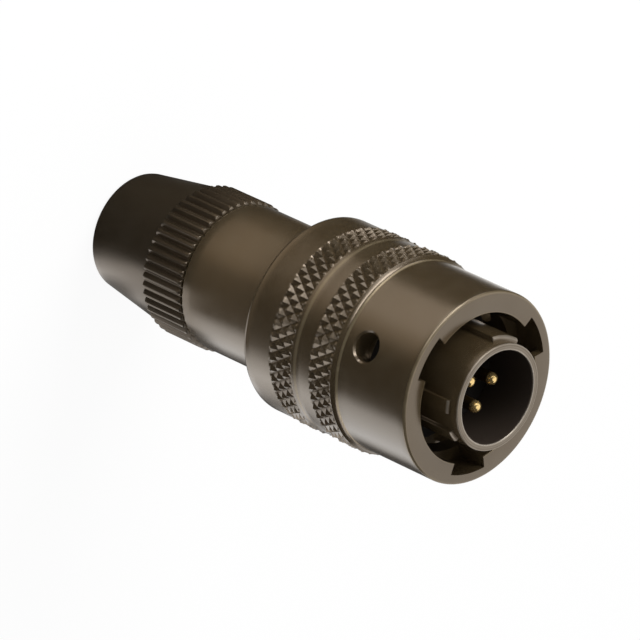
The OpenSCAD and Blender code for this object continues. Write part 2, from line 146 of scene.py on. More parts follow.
class ShellSizes(bpy.types.PropertyGroup):
    """Sizes of the plug shell with its keyed barrel."""
    barrel_r: length("Barrel radius", "Outside of the barrel", 6.87)
    barrel_bore_r: length("Barrel bore radius", "Inside of the barrel", 6.03)
    barrel_len: length("Barrel length", "Barrel in front of the flange", 13)
    flange_r: length("Flange radius", "Flange that guides the ring", 9.57)
    flange_t: length("Flange thickness", "Thickness of the flange", 2)
    neck_r: length("Neck radius", "Neck for spring and washers", 7.6)
    thread_r: length("Thread radius", "Rear thread", 7.5)
    thread_len: length("Thread length", "Length of the rear thread", 7.5)
    groove_depth: length("Groove depth", "Groove of the snap ring", 0.45)
    groove_len: length("Groove width", "Groove of the snap ring", 0.8)
    rear_bore_r: length("Rear bore radius", "Bore behind the step", 6.4)
    key_back: length("Key distance", "Keys behind the rim", 1.2)
    key_chamfer: length("Key chamfer", "Chamfer at the front of the keys", 0.25)
    main_key_h: length("Main key height", "Main key over the barrel", 0.62)
    main_key_w: length("Main key width", "Width of the main key", 4.4)
    key_h: length("Narrow key height", "Narrow keys over the barrel", 0.5)
    key_w: length("Narrow key width", "Width of the narrow keys", 1.7)
    main_key_at: angle("Main key angle", "Where the main key stands", 90)
    edge: length("Edge rounding", "Rounding of the turned edges", 0.12)


class BackshellSizes(bpy.types.PropertyGroup):
    """Sizes of the backshell and its threaded spigot."""
    spigot_r: length("Spigot radius", "Over the thread of the spigot", 8)
    spigot_len: length("Spigot length", "Length of the spigot", 10)
    thread_pitch: length("Thread pitch", "Pitch of the nut's thread", 1.27)
    thread_depth: length("Thread depth", "Depth of that thread", 0.62)
    thread_relief: length("Thread relief", "Plain neck between thread and shoulder", 0.5)
    gland_bore_r: length("Gland bore radius", "Bore of the cable bush", 6.4)
    gland_depth: length("Gland depth", "Depth of that bore", 6.3)
    web_t: length("Web thickness", "Wall between gland and chamber", 0.9)
    web_bore_r: length("Web bore radius", "Cable hole in that wall", 4.13)
    chamber_r: length("Chamber radius", "Wiring chamber", 7)
    socket_r: length("Socket radius", "Socket for the shell's thread", 7.53)
    socket_len: length("Socket length", "Depth of that socket", 6.1)
    edge: length("Edge rounding", "Rounding of the outer edges", 0.3)


class NutSizes(bpy.types.PropertyGroup):
    """Sizes of the cable clamp nut."""
    tail_r: length("Tail radius", "Tail at its end", 7.65)
    tail_top_r: length("Tail top radius", "Tail where the knurl starts", 9.475)
    tail_round: length("Tail rounding", "Rounding of the tail's end", 1)
    ridge_len: length("Ridge length", "Length of the straight knurl", 6.9)
    ridge_r: length("Ridge radius", "Radius over the ridges", 10)
    ridge_round: length("Ridge rounding", "Rounding at both ends of the ridges", 0.35)
    ridges: IntProperty(name="Ridges", description="Number of ridges", default=50)
    ridge_top: share("Ridge top", "Top of a ridge as a share of the pitch", 0.24)
    ridge_foot: share("Ridge foot", "Foot of a ridge as a share of the pitch", 0.88)
    cable_r: length("Cable entry radius", "Hole for the cable", 4.1)
    entry_chamfer: length("Entry chamfer", "Chamfer at the mouth of that hole", 0.5)
    end_wall: length("End wall", "Thickness of the end wall", 3)
    pocket_r: length("Pocket radius", "Pocket round the bush", 6.7)
    pocket_top: length("Pocket top", "Height where the thread's bore starts", 8.4)
    thread_r: length("Thread radius", "Bore of the thread", 8.08)


class ContactSizes(bpy.types.PropertyGroup):
    """Sizes of the pins and of the face seal round them."""
    pin_r: length("Pin radius", "Radius of a pin", 0.7875)
    circle_r: length("Pin circle", "Radius of the circle of pins", 2.285)
    pin_at: angle("Pin angle", "Where the first pin stands", 36)
    cup_r: length("Cup radius", "Outside of a solder cup", 1.25)
    cup_bore_r: length("Cup bore radius", "Bore of a solder cup", 0.9)
    cup_depth: length("Cup depth", "Depth of a solder cup", 4.2)
    cup_open: length("Cup opening", "Open side of a solder cup", 3)
    cup_len: length("Cup length", "Cup up to the collar", 12.9)
    collar_r: length("Collar radius", "Collar inside the insert", 1.5)
    collar_len: length("Collar length", "Length of that collar", 1.2)
    seal_r: length("Seal radius", "Face seal in the barrel", 6)
    seal_t: length("Seal thickness", "Flat part of the face seal", 0.9)
    boss_foot_r: length("Boss foot radius", "Foot of the boss round a pin", 1.6)
    boss_top_r: length("Boss top radius", "Top of the boss round a pin", 1.14)
    spring_t: length("Spring strip", "Thickness of the wave spring", 0.4)
    spring_in_r: length("Spring inner radius", "Inside of the wave spring", 7.76)
    spring_out_r: length("Spring outer radius", "Outside of the wave spring", 9.49)
    spring_waves: IntProperty(name="Waves", description="Waves of the spring", default=3)


class Finishes(bpy.types.PropertyGroup):
    """Colours of the finishes, as linear values."""
    olive: colour("Olive bronze", "Dark conversion coat of the turned pieces", (0.045, 0.03, 0.0135))
    olive_light: colour("Thin olive", "Where the coat is thin", (0.057, 0.042, 0.023))
    # Rubbed edges, and painted highlight lines in the ring's hollows
    rub_and_highlight: colour("Rubbed edge", "Coat worn thin on the edges", (0.36, 0.29, 0.18))
    rim: colour("Rubbed rim", "Bare metal on the barrel's rim", (0.45, 0.4, 0.34))
    sheen: colour("Sheen", "Tint of the coat's reflections", (1.0, 0.84, 0.68))
    gold: colour("Gold", "Plating of the contacts", (1.0, 0.71, 0.3))
    # Painted shade: dark brown for the pins' shafts below their tips
    painted_shade_gold: colour("Dull gold", "Plating away from the tips", (0.16, 0.1, 0.035))
    # Moulding is also painted as shade inside the barrel's bore
    moulding: colour("Moulding", "Black insulator", (0.022, 0.016, 0.012))
    rubber: colour("Rubber", "Black seals", (0.007, 0.0055, 0.0045))
    steel: colour("Steel", "Springs and washers", (0.5, 0.48, 0.44))
    floor: colour("Floor", "Studio floor", (0.93, 0.93, 0.93))


class StudioSettings(bpy.types.PropertyGroup):
    """Camera and light of the studio."""
    azimuth: angle("Azimuth", "Where the camera stands, from +X", 165)
    elevation: angle("Elevation", "How high the camera stands", 40.93)
    roll: angle("Roll", "Turn of the camera about its line of sight", 114.85)
    distance: length("Distance", "From the camera to its aim", 826)
    aim: FloatVectorProperty(name="Aim", description="Point that the camera looks at", size=3,
                             default=(-0.01333, 0.00302, 0.04635), subtype="TRANSLATION", unit="LENGTH")
    lens: FloatProperty(name="Lens", description="Focal length", default=384.1, unit="CAMERA")
    sky: share("Sky", "Light from all round", 0.62)
    key_power: FloatProperty(name="Key power", description="Power of the key softbox", default=2.2,
                             unit="POWER")
    key_size: length("Key size", "Side of the key softbox", 300)
    key_distance: length("Key distance", "From the key softbox to its aim", 500)
    key_aim: length("Key aim", "Height on the axis that the key softbox faces", 40)
    key_azimuth: angle("Key azimuth", "Where the key softbox stands, from +X", 85)
    key_elevation: angle("Key elevation", "How high the key softbox stands", 40)
    floor_r: length("Floor radius", "Radius of the studio floor", 4000)
    floor_glow: share("Floor glow", "How far plain white stands for the floor where it is seen", 0.93)


class ConnectorSettings(bpy.types.PropertyGroup):
    """All settings of the connector."""
    ring: PointerProperty(type=RingSizes)
    shell: PointerProperty(type=ShellSizes)
    backshell: PointerProperty(type=BackshellSizes)
    nut: PointerProperty(type=NutSizes)
    contacts: PointerProperty(type=ContactSizes)
    finishes: PointerProperty(type=Finishes)
    studio: PointerProperty(type=StudioSettings)


def unit(vectors):
    """Each row divided by its own length."""
    return vectors / np.linalg.norm(vectors, axis=-1, keepdims=True)


def smooth(x):
    """Smooth step: 3 x squared less 2 x cubed, with x held between 0 and 1."""
    x = np.clip(x, 0, 1)
    return x * x * (3 - 2 * x)


def tent(x):
    """Triangle wave: 0 at every whole number and 1 half way between."""
    return 1 - np.abs(2 * (x % 1) - 1)


def rounded(corners, steps=6):
    """Closed outline from rows of (radius, height, rounding), where an arc tangent to both sides stands
    for each corner. The arc starts at the corner less the side times rounding times the tangent of half
    the turn, and its spoke turns through the corner's own turn."""
    table = np.array(corners, float)
    p, r = table[:, :2], table[:, 2:]
    into = unit(p - np.roll(p, 1, 0))
    out = unit(np.roll(p, -1, 0) - p)
    turn = np.arctan2(into[:, 0] * out[:, 1] - into[:, 1] * out[:, 0], (into * out).sum(1))[:, None]
    left = np.stack([-into[:, 1], into[:, 0]], 1) * np.sign(turn)
    centre = p - into * r * np.tan(np.abs(turn) / 2) + left * r
    spoke = -left * r
    a = turn * np.linspace(0, 1, steps)
    x = centre[:, :1] + spoke[:, :1] * np.cos(a) - spoke[:, 1:] * np.sin(a)
    y = centre[:, 1:] + spoke[:, :1] * np.sin(a) + spoke[:, 1:] * np.cos(a)
    points = np.stack([x.ravel(), y.ravel()], 1)
    apart = np.linalg.norm(points - np.roll(points, 1, 0), axis=1) > 1e-7
    return points[apart]


def divided(outline, longest):
    """The same closed outline with every side cut into equal steps no longer than a length, which may be
    one for all sides or one for each."""
    ahead = np.roll(outline, -1, 0)
    parts = np.maximum(1, np.ceil(np.linalg.norm(ahead - outline, axis=1) / longest)).astype(int)
    start = np.repeat(np.arange(len(outline)), parts)
    step = np.arange(parts.sum()) - np.repeat(np.cumsum(parts) - parts, parts)
    t = (step / parts[start])[:, None]
    return outline[start] * (1 - t) + ahead[start] * t


def spun(radius, height, turn):
    """Points of a turned surface: radius times cosine and sine of the turn, and the height."""
    radius, height, turn = np.broadcast_arrays(radius, height, turn)
    return np.stack([radius * np.cos(turn), radius * np.sin(turn), height], -1)


def whole_turn(columns):
    """Equal angles of one whole turn, as a row."""
    return np.arange(columns)[None] * (2 * np.pi / columns)


def cells(rows, columns, close_rows=True):
    """Corner numbers of the four-sided cells of a grid whose columns close, and whose rows may."""
    u, v = np.meshgrid(np.arange(rows - (not close_rows)), np.arange(columns), indexing="ij")
    low, high, on = u * columns, (u + 1) % rows * columns, (v + 1) % columns
    return np.stack([low + v, low + on, high + on, high + v], -1).reshape(-1, 4)


def split_low(quads, height):
    """Each cell as two triangles, cut along the diagonal whose ends lie lower, so that valleys stay
    straight."""
    h = height.ravel()[quads]
    along = (h[:, 0] + h[:, 2] <= h[:, 1] + h[:, 3])[:, None]
    first = np.where(along, quads[:, [0, 1, 2]], quads[:, [0, 1, 3]])
    second = np.where(along, quads[:, [0, 2, 3]], quads[:, [1, 2, 3]])
    return np.concatenate([first, second])


def make_piece(name, points, *faces):
    """Object from a grid of points and arrays of faces, turned so that its faces point outwards."""
    points = points.reshape(-1, 3)
    corners = np.concatenate([f.ravel() for f in faces])
    totals = np.concatenate([np.full(len(f), f.shape[1]) for f in faces])
    mesh = bpy.data.meshes.new(name)
    mesh.vertices.add(len(points))
    mesh.vertices.foreach_set("co", points.astype(np.float32).ravel())
    mesh.loops.add(len(corners))
    mesh.loops.foreach_set("vertex_index", corners.astype(np.int32))
    mesh.polygons.add(len(totals))
    mesh.polygons.foreach_set("loop_start", (np.cumsum(totals) - totals).astype(np.int32))
    mesh.update(calc_edges=True)
    piece = bpy.data.objects.new(name, mesh)
    bpy.context.scene.collection.objects.link(piece)
    close_up(mesh)
    return piece


def grid_piece(name, points, close_rows=True):
    """Object from one grid of points whose columns close, and whose rows may."""
    return make_piece(name, points, cells(*points.shape[:2], close_rows))


def close_up(mesh):
    """Merges doubled points at seams and poles and turns all faces outwards."""
    work = bmesh.new()
    work.from_mesh(mesh)
    bmesh.ops.remove_doubles(work, verts=work.verts, dist=1e-8)
    bmesh.ops.dissolve_degenerate(work, edges=work.edges, dist=1e-9)
    bmesh.ops.recalc_face_normals(work, faces=work.faces)
    work.to_mesh(mesh)
    work.free()


def crisp(piece):
    """Smooth shading that keeps every edge sharper than SHARP."""
    mesh = piece.data
    mesh.polygons.foreach_set("use_smooth", np.ones(len(mesh.polygons), bool))
    mesh.set_sharp_from_angle(angle=SHARP)
    return piece


def cut_away(piece, cutter):
    """Cuts one closed mesh out of another and removes the cutter."""
    modifier = piece.modifiers.new("cut", "BOOLEAN")
    modifier.operation = "DIFFERENCE"
    modifier.solver = "EXACT"
    modifier.object = cutter
    shape = piece.evaluated_get(bpy.context.evaluated_depsgraph_get())
    mesh = bpy.data.meshes.new_from_object(shape)
    if not mesh.polygons:
        raise RuntimeError(f"the cut left nothing of {piece.name}")
    mesh.name = piece.name
    piece.modifiers.clear()
    piece.data = mesh
    bpy.data.objects.remove(cutter)


def put_on(piece, body, node, material):
    """A finished piece rides its body, stands for its node and gets its finish."""
    piece.data.materials.clear()
    piece.data.materials.append(material)
    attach(piece, body)
    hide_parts(node)


def paint_node(node, material):
    """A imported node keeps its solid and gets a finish."""
    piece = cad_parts[node]
    piece.data.materials.clear()
    piece.data.materials.append(material)


class Value:
    """A socket of a material. Arithmetic on it adds Math nodes."""

    def __init__(self, paint, socket):
        self.paint, self.socket = paint, socket

    def math(self, operation, *others):
        """One Math node on this value and others."""
        values = (self, *others)
        return self.paint.node("ShaderNodeMath", {"operation": operation}, dict(enumerate(values)))

    def __add__(self, other):
        return self.math("ADD", other)

    __radd__ = __add__

    def __mul__(self, other):
        return self.math("MULTIPLY", other)

    __rmul__ = __mul__

    def __sub__(self, other):
        return self.math("SUBTRACT", other)

    def __rsub__(self, other):
        return self.paint.node("ShaderNodeMath", {"operation": "SUBTRACT"}, {0: other, 1: self})

    def __truediv__(self, other):
        return self.math("DIVIDE", other)

    def __pow__(self, other):
        return self.math("POWER", other)

    def most(self, other):
        """The larger of two values."""
        return self.math("MAXIMUM", other)

    def held(self):
        """The value between 0 and 1."""
        return self.paint.node("ShaderNodeClamp", {}, {"Value": self})

    def output(self, name):
        """Another output of the same node."""
        return Value(self.paint, self.socket.node.outputs[name])


class Paint:
    """The nodes of one material or of the world."""

    def __init__(self, owner):
        owner.use_nodes = True
        self.owner, self.tree = owner, owner.node_tree
        self.tree.nodes.clear()

    def node(self, kind, settings=None, sockets=None, output=0):
        """Adds a node: first its settings or the stops of its ramp, then the values or links of its
        sockets."""
        made = self.tree.nodes.new(kind)
        for key, value in (settings or {}).items():
            if key == "stops":
                self.fill(made.color_ramp.elements, value)
            else:
                setattr(made, key, value)
        for key, value in (sockets or {}).items():
            if isinstance(value, Value):
                self.tree.links.new(value.socket, made.inputs[key])
            else:
                made.inputs[key].default_value = value
        return Value(self, made.outputs[output]) if made.outputs else made

    def fill(self, elements, stops):
        """Sets the stops of a ramp, given as (position, colour) from first to last."""
        for position, _ in stops[1:-1]:
            elements.new(position)
        for element, (position, rgb) in zip(elements, stops):
            element.position, element.color = position, solid(rgb)

    def place(self):
        """Object coordinates, with the distance from the axis and the height."""
        spot = self.node("ShaderNodeTexCoord", output="Object")
        x = self.node("ShaderNodeSeparateXYZ", {}, {0: spot})
        y, z = x.output("Y"), x.output("Z")
        return spot, (x * x + y * y) ** 0.5, z

    def noise(self, vector, scale, detail):
        """Cloudy noise, with its scale in features to a metre."""
        return self.node("ShaderNodeTexNoise", {},
                         {"Vector": vector, "Scale": scale, "Detail": detail, "Roughness": 0.55})

    def lines(self, along, scale):
        """Noise that changes in one direction only, as the marks of a turning tool do."""
        return self.node("ShaderNodeTexNoise", {"noise_dimensions": "1D"}, {"W": along, "Scale": scale})

    def blend(self, factor, a, b):
        """From colour a to colour b."""
        return self.node("ShaderNodeMix", {"data_type": "RGBA"},
                         {0: factor, 6: solid(a), 7: solid(b)}, output=2)

    def bump(self, height, strength, distance):
        """A normal from a height."""
        return self.node("ShaderNodeBump", {},
                         {"Height": height, "Strength": strength, "Distance": distance})

    def seen(self):
        """1 where the lens, a reflection or glass looks, and 0 for other light."""
        path = self.node("ShaderNodeLightPath", output="Is Camera Ray")
        return path.most(path.output("Is Glossy Ray")).most(path.output("Is Transmission Ray"))

    def close(self, shader, kind="Material"):
        """Links a shader to the output."""
        self.node("ShaderNodeOutput" + kind, {}, {"Surface": shader})
        return self.owner

    def principled(self, sockets):
        """A principled shader that isn't linked yet."""
        return self.node("ShaderNodeBsdfPrincipled", {}, sockets)

    def surface(self, sockets):
        """Closes the material with one principled shader."""
        return self.close(self.principled(sockets))


def solid(rgb):
    """A colour with full cover, or a linked colour as it is."""
    return rgb if isinstance(rgb, Value) else (*rgb, 1.0)


def edge_wear_and_highlight(r, z, edges):
    """Wear on the nearest of some circles round the axis, and painted highlight lines where a circle lies
    in a hollow, given as (radius, height, reach, most wear), which fades to nothing at the reach."""
    masks = [(1 - ((r - a) ** 2 + (z - b) ** 2) ** 0.5 / reach).held() * rub for a, b, reach, rub in edges]
    most = masks[0]
    for mask in masks[1:]:
        most = most.most(mask)
    return most


def olive_finish(name, finishes, edges, rub_and_highlight, hollow=0.0, depth=1.0, satin=0.15):
    """Dark conversion coat on a turned piece: cloudy colour, scaled by the depth, which paints shade where
    it is below 1, a satin roughness, tool marks, edges rubbed lighter with painted highlight lines where an
    edge circle lies in a hollow, and painted shade inside the hollow radius, where the coat gives way to
    black moulding."""
    paint = Paint(bpy.data.materials.new(name))
    spot, r, z = paint.place()
    cloud = paint.noise(spot, 420, 4)
    grain = paint.noise(spot, 9000, 2)
    marks = paint.lines(r + z, 5200)
    # Lighter edges: real wear on ridges, painted highlight lines in hollows
    worn = (edge_wear_and_highlight(r, z, edges) * (0.35 + cloud * 0.9)).held()
    # Depth below 1 darkens both coat colours: painted shade
    shades = [tuple(depth * c for c in rgb) for rgb in (finishes.olive, finishes.olive_light)]
    coat = paint.blend((cloud * 1.6 - 0.35).held(), *shades)
    normal = paint.bump(marks, 0.03, 0.01 * MM)
    metal = paint.principled({
        "Base Color": paint.blend(worn, coat, rub_and_highlight),
        "Roughness": satin + cloud * 0.07 + grain * 0.05 + worn * 0.08,
        "Metallic": worn * 0.7 + 0.1, "IOR": 2.1, "Specular Tint": solid(finishes.sheen),
        "Normal": normal})
    if not hollow:
        return paint.close(metal)
    # Painted shade: inside the hollow radius the coat gives way to black moulding colour, where the bore
    # lies in shade
    black = paint.principled({
        "Base Color": solid(finishes.moulding), "Roughness": 0.5 + grain * 0.1, "Specular IOR Level": 0.15,
        "Normal": normal})
    inside = ((hollow - r) / (0.1 * MM)).held() * (1 - worn)
    return paint.close(paint.node("ShaderNodeMixShader", {}, {0: inside, 1: metal, 2: black}))


def gold_finish(name, finishes, bright):
    """Polished plating with faint polishing marks; below the bright height it turns rougher and takes
    painted shade, a dark brown base colour.
    """
    paint = Paint(bpy.data.materials.new(name))
    spot, _, z = paint.place()
    cloud = paint.noise(spot, 1500, 3)
    marks = paint.lines(z, 9000)
    # Painted shade on the shafts below the tips, where the barrel is dark
    shaft_shade = ((bright - z) / (0.3 * MM)).held()
    base = paint.blend(cloud * 0.5, finishes.gold, tuple(0.82 * c for c in finishes.gold))
    return paint.surface({
        "Base Color": paint.blend(shaft_shade, base, finishes.painted_shade_gold), "Metallic": 0.9 + shaft_shade * 0.1,
        "Roughness": 0.14 + cloud * 0.06 + shaft_shade * 0.25, "Normal": paint.bump(marks, 0.05, 0.01 * MM)})


def moulded_finish(name, tint, scale, low, high):
    """Black moulding or rubber with a fine skin."""
    paint = Paint(bpy.data.materials.new(name))
    spot, _, _ = paint.place()
    skin = paint.noise(spot, scale, 3)
    cloud = paint.noise(spot, 300, 3)
    base = paint.blend(cloud * 0.7, tint, tuple(1.7 * c for c in tint))
    return paint.surface({
        "Base Color": base, "Roughness": low + (high - low) * skin, "Specular IOR Level": 0.2,
        "Normal": paint.bump(skin, 0.2, 0.02 * MM)})


def steel_finish(name, finishes):
    """Turned or rolled bright metal with circular marks."""
    paint = Paint(bpy.data.materials.new(name))
    spot, r, z = paint.place()
    marks = paint.lines(r + z, 12000)
    cloud = paint.noise(spot, 900, 3)
    base = paint.blend(cloud * 0.6, finishes.steel, tuple(0.75 * c for c in finishes.steel))
    return paint.surface({
        "Base Color": base, "Metallic": 1.0, "Roughness": 0.25 + marks * 0.2,
        "Normal": paint.bump(marks, 0.1, 0.01 * MM)})


def band_rows(low, size):
    """Heights of the rows of one knurled band: a short lead at both ends and six rows to each half
    diamond."""
    lead = size.knurl_lead
    inner = np.linspace(low + lead, low + size.band_len - lead, 6 * size.half_rows + 1)
    return np.concatenate([[low], inner, [low + size.band_len]])


def knurled(heights, turn, low, behind, ahead, size):
    """Radius of a diamond knurl: two sets of V grooves wind round both ways, the metal left at a spot is
    the lower of their two triangle waves, tips are cut flat, and over a short lead both ends run straight
    out to the plain radius there."""
    lead = size.knurl_lead
    room = size.band_len - 2 * lead
    up = (heights - low)[:, None]
    along = np.clip(up - lead, 0, room) * size.half_rows / (2 * room)
    around = turn * size.diamonds / (2 * np.pi) + 0.5
    left = np.minimum(tent(around + along), tent(around - along))
    left = np.minimum(left, 1 - size.tip_flat) / (1 - size.tip_flat)
    radius = size.knurl_r - size.knurl_depth * (1 - left)
    plain = np.where(up < size.band_len / 2, behind, ahead)
    inward = np.minimum(1, np.minimum(up, size.band_len - up) / lead)
    return plain + (radius - plain) * inward


def band_feet(size):
    """Heights where the rear and the front band start."""
    front = RING_HIGH.z - size.sleeve_len - size.shoulder_len - size.band_len
    return front - size.band_step, front


def ring_outline(size, step):
    """Outline of the ring without its knurl, with a point just outside both ends of each band. The hollow
    in front of the first band is an arc that touches the sleeve, with radius (rise squared plus run
    squared) over twice the rise."""
    foot, face = RING_LOW.z, RING_HIGH.z
    rear, front = band_feet(size)
    lip = foot + size.lip_back
    rise, run = size.shoulder_r - size.sleeve_r, size.shoulder_len - step
    hollow = (rise ** 2 + run ** 2) / (2 * rise)
    corner = face - size.sleeve_len - hollow * math.tan(math.asin(run / hollow) / 2)
    return divided(rounded([
        (size.skirt_bore_r, foot, size.edge), (size.skirt_r, foot, size.rear_round),
        (size.skirt_r, rear - step, 0), (size.skirt_r, rear + size.band_len + step, 0),
        (size.land_r, rear + size.band_len + size.land_slope, 0), (size.land_r, front - step, 0),
        (size.shoulder_r, front + size.band_len + step, 0), (size.sleeve_r, corner, hollow),
        (size.sleeve_r, face, size.face_round), (size.bore_r, face, size.edge),
        (size.bore_r, lip + size.lip_t, 0), (size.lip_bore_r, lip + size.lip_t, size.edge),
        (size.lip_bore_r, lip, size.edge), (size.skirt_bore_r, lip, 0)]), FINE)


def ring_body(size):
    """The turned and knurled ring before its slots and holes are cut: its outline is spun about the axis,
    and the rows of the two bands stand for the outline's points there."""
    rear, front = band_feet(size)
    step = 0.02 * MM
    columns = 12 * size.diamonds
    turn = whole_turn(columns)
    outline = ring_outline(size, step)
    on_skin = outline[:, 0] > size.sleeve_r
    radii, heights, fine = [], [], []
    last = 0
    for low, behind, ahead in ((rear, size.skirt_r, size.skirt_r), (front, size.land_r, size.shoulder_r)):
        before = on_skin & (outline[:, 1] <= low - step / 2)
        inside = on_skin & ~before & (outline[:, 1] < low + size.band_len + step / 2)
        first = np.flatnonzero(before)[-1] + 1
        plain, rows = outline[last:first], band_rows(low, size)
        radii += [np.repeat(plain[:, :1], columns, 1), knurled(rows, turn, low, behind, ahead, size)]
        heights += [plain[:, 1], rows]
        fine += [np.zeros(len(plain), bool), np.ones(len(rows), bool)]
        last = first + inside.sum()
    plain = outline[last:]
    radius = np.concatenate([*radii, np.repeat(plain[:, :1], columns, 1)])
    height = np.concatenate([*heights, plain[:, 1]])
    knurl = np.concatenate([*fine, np.zeros(len(plain), bool)])
    quads = cells(len(height), columns)
    row = quads[:, 0] // columns
    cut = knurl[row] | knurl[(row + 1) % len(knurl)]
    return make_piece("coupling_ring_turned", spun(radius, height[:, None], turn),
                      quads[~cut], split_low(quads[cut], radius))


def groove_cutters(size):
    """Three bayonet grooves: a four-cornered section is carried round the axis, first along a ramp that
    climbs from its inspection hole, then through the entry slot, where it is open to the mating face."""
    face = RING_HIGH.z
    low_end, slot_z = face - size.hole_back, face - size.slot_depth
    mouth = -size.slot_width / 2
    end = -size.ramp_turn - size.ramp_over
    hair = math.radians(0.1)
    ramp = np.linspace(end, mouth, 48)
    slot = np.linspace(mouth + hair, -mouth, 16)
    mid = low_end + (slot_z + size.ramp_w / 2 - low_end) * (ramp - end) / (mouth - end)
    low = np.concatenate([mid - size.ramp_w / 2, np.full(len(slot), slot_z)])
    high = np.concatenate([mid + size.ramp_w / 2, np.full(len(slot), face + MM)])
    way = np.concatenate([ramp, slot])[:, None]
    inner = size.bore_r - MM
    radius = np.array([[inner, size.ramp_r, size.ramp_r, inner]])
    height = np.stack([low, low, high, high], 1)
    return repeated("groove_cutters", lambda at: spun(radius, height, way + at), size)


def hole_cutters(size):
    """Three inspection holes: rings round a radial line, which flare at the sleeve's own curved skin."""
    t = whole_turn(72)
    flare = size.hole_chamfer / size.hole_r
    grow = np.array([0, 1, 1, 1 + flare, 1 + 3 * flare, 0])[:, None]
    across, up = size.hole_r * grow * np.cos(t), size.hole_r * grow * np.sin(t)
    skin = np.sqrt(size.sleeve_r ** 2 - across ** 2)
    inner = size.bore_r - MM
    over = 2 * size.hole_chamfer
    flat = np.full_like(skin[0], inner)
    out = np.stack([flat, flat, skin[2] - size.hole_chamfer, skin[3], skin[4] + over,
                    np.full_like(flat, size.sleeve_r + over)])
    height = RING_HIGH.z - size.hole_back + up

    def turned(at):
        """The rings of one hole, turned about the axis."""
        a = at - size.ramp_turn
        x, y = out * np.cos(a) - across * np.sin(a), out * np.sin(a) + across * np.cos(a)
        return np.stack([x, y, height], -1)

    return repeated("hole_cutters", turned, size)


def repeated(name, shape, size, copies=3):
    """One mesh of equal closed shapes, equal parts of a turn apart. A shape is a grid whose columns close,
    and whose two ends get a face each unless they are points."""
    grids = [shape(size.slot_at + k * 2 * np.pi / copies) for k in range(copies)]
    rows, columns = grids[0].shape[:2]
    sides = cells(rows, columns, close_rows=False)
    ends = np.stack([np.arange(columns)[::-1], (rows - 1) * columns + np.arange(columns)])
    shift = np.arange(copies)[:, None, None] * rows * columns
    points = np.concatenate([g.reshape(-1, 3) for g in grids])
    caps = [(ends + shift).reshape(-1, columns)] if np.ptp(grids[0][0], 0).max() > 1e-9 else []
    return make_piece(name, points, (sides + shift).reshape(-1, 4), *caps)


class CONNECTOR_OT_coupling_ring(bpy.types.Operator):
    """Build the knurled coupling ring with its bayonet slots and inspection holes"""
    bl_idname = "connector.coupling_ring"
    bl_label = "Coupling ring"

    def execute(self, context):
        settings = context.scene.connector
        size = settings.ring
        ring = ring_body(size)
        cut_away(ring, groove_cutters(size))
        cut_away(ring, hole_cutters(size))
        face, rear = RING_HIGH.z, band_feet(size)[0]
        edges = [
            (size.sleeve_r, face, 0.4 * MM, 0.5), (size.bore_r, face, 0.25 * MM, 0.4),
            (size.skirt_r, RING_LOW.z + size.rear_round / 3, 0.3 * MM, 0.25),
            # The next two circles lie in hollows, where nothing rubs: painted highlight lines at the foot
            # of the land slope and in the hollow before the first band
            (size.land_r, rear + size.band_len + size.land_slope, 0.35 * MM, 0.4),
            (size.sleeve_r, face - size.sleeve_len - size.shoulder_len / 4, 0.25 * MM, 0.9)]
        finish = olive_finish("olive_ring", settings.finishes, edges, settings.finishes.rub_and_highlight)
        put_on(crisp(ring), "ring", "coupling_ring", finish)
        return {"FINISHED"}


def barrel_keys(size):
    """Each key of the barrel as (angle, half the angle that it spans, height), the main key first."""
    narrow = [(math.radians(at), size.key_w, size.key_h) for at in NARROW_KEYS]
    keys = [(0, size.main_key_w, size.main_key_h), *narrow]
    return [(size.main_key_at + at, math.asin(width / 2 / (size.barrel_r + tall / 2)), tall)
            for at, width, tall in keys]


def key_height(turn, size):
    """Height of the keys round the barrel: each stands up to full height inside its width, with rounded
    shoulders."""
    shoulder = math.radians(0.45)
    total = np.zeros_like(turn)
    for at, half, tall in barrel_keys(size):
        off = np.abs((turn - at + np.pi) % (2 * np.pi) - np.pi)
        total += tall * smooth((half + shoulder - off) / (2 * shoulder))
    return total


def key_columns(size):
    """Angles round the barrel: an even division, and a close set at both sides of every key."""
    near = np.radians(np.array([-0.9, -0.45, -0.25, 0, 0.25, 0.45, 0.9]))
    sides = [at + side * half + near for at, half, _ in barrel_keys(size) for side in (1, -1)]
    turn = np.concatenate([whole_turn(AROUND).ravel(), *sides]) % (2 * np.pi)
    return np.unique(np.round(turn, 5))[None]


def shell_points(size):
    """The plug shell: an outline spun about the axis, whose barrel is raised by its keys. Near the keys'
    front ends their height is held to a slope, which makes the chamfer."""
    foot, rim = SHELL_LOW.z, SHELL_HIGH.z
    top = rim - size.barrel_len
    flange = top - size.flange_t
    seat = flange + size.flange_t / 2
    groove = foot + size.thread_len
    groove_r = size.neck_r - size.groove_depth
    groove_end = groove + size.groove_len
    keys_end = rim - size.key_back
    edge = size.edge
    chamfer_rows = keys_end - size.key_chamfer * np.array([1.6, 1, 1 / 12, 0])
    outline = divided(rounded([
        (size.rear_bore_r, foot, edge), (size.thread_r, foot, 2 * edge), (size.thread_r, groove, 0),
        (groove_r, groove, 0), (groove_r, groove_end, 0), (size.neck_r, groove_end, edge),
        (size.neck_r, flange, 0), (size.flange_r, flange, edge), (size.flange_r, top, edge),
        (size.barrel_r, top, 2 * edge), *((size.barrel_r, row, 0) for row in chamfer_rows),
        (size.barrel_r, rim, edge), (size.barrel_bore_r, rim, edge), (size.barrel_bore_r, seat, 0),
        (size.rear_bore_r, seat, 0)]), COARSE)
    turn = key_columns(size)
    r, z = outline[:, :1], outline[:, 1:]
    on_barrel = (np.abs(r - size.barrel_r) < 2.5 * edge) & (z >= top) & (r > size.barrel_bore_r + edge)
    on_keys = on_barrel & (z < keys_end - 1e-3 * MM)
    room = np.where(on_keys, np.minimum(1, (keys_end - z) / size.key_chamfer), 0)
    tall = key_height(turn, size)
    slope = np.maximum(0, tall.max() - size.key_chamfer * (1 - room))
    return spun(r + np.minimum(tall, slope) * (room > 0), z, turn)


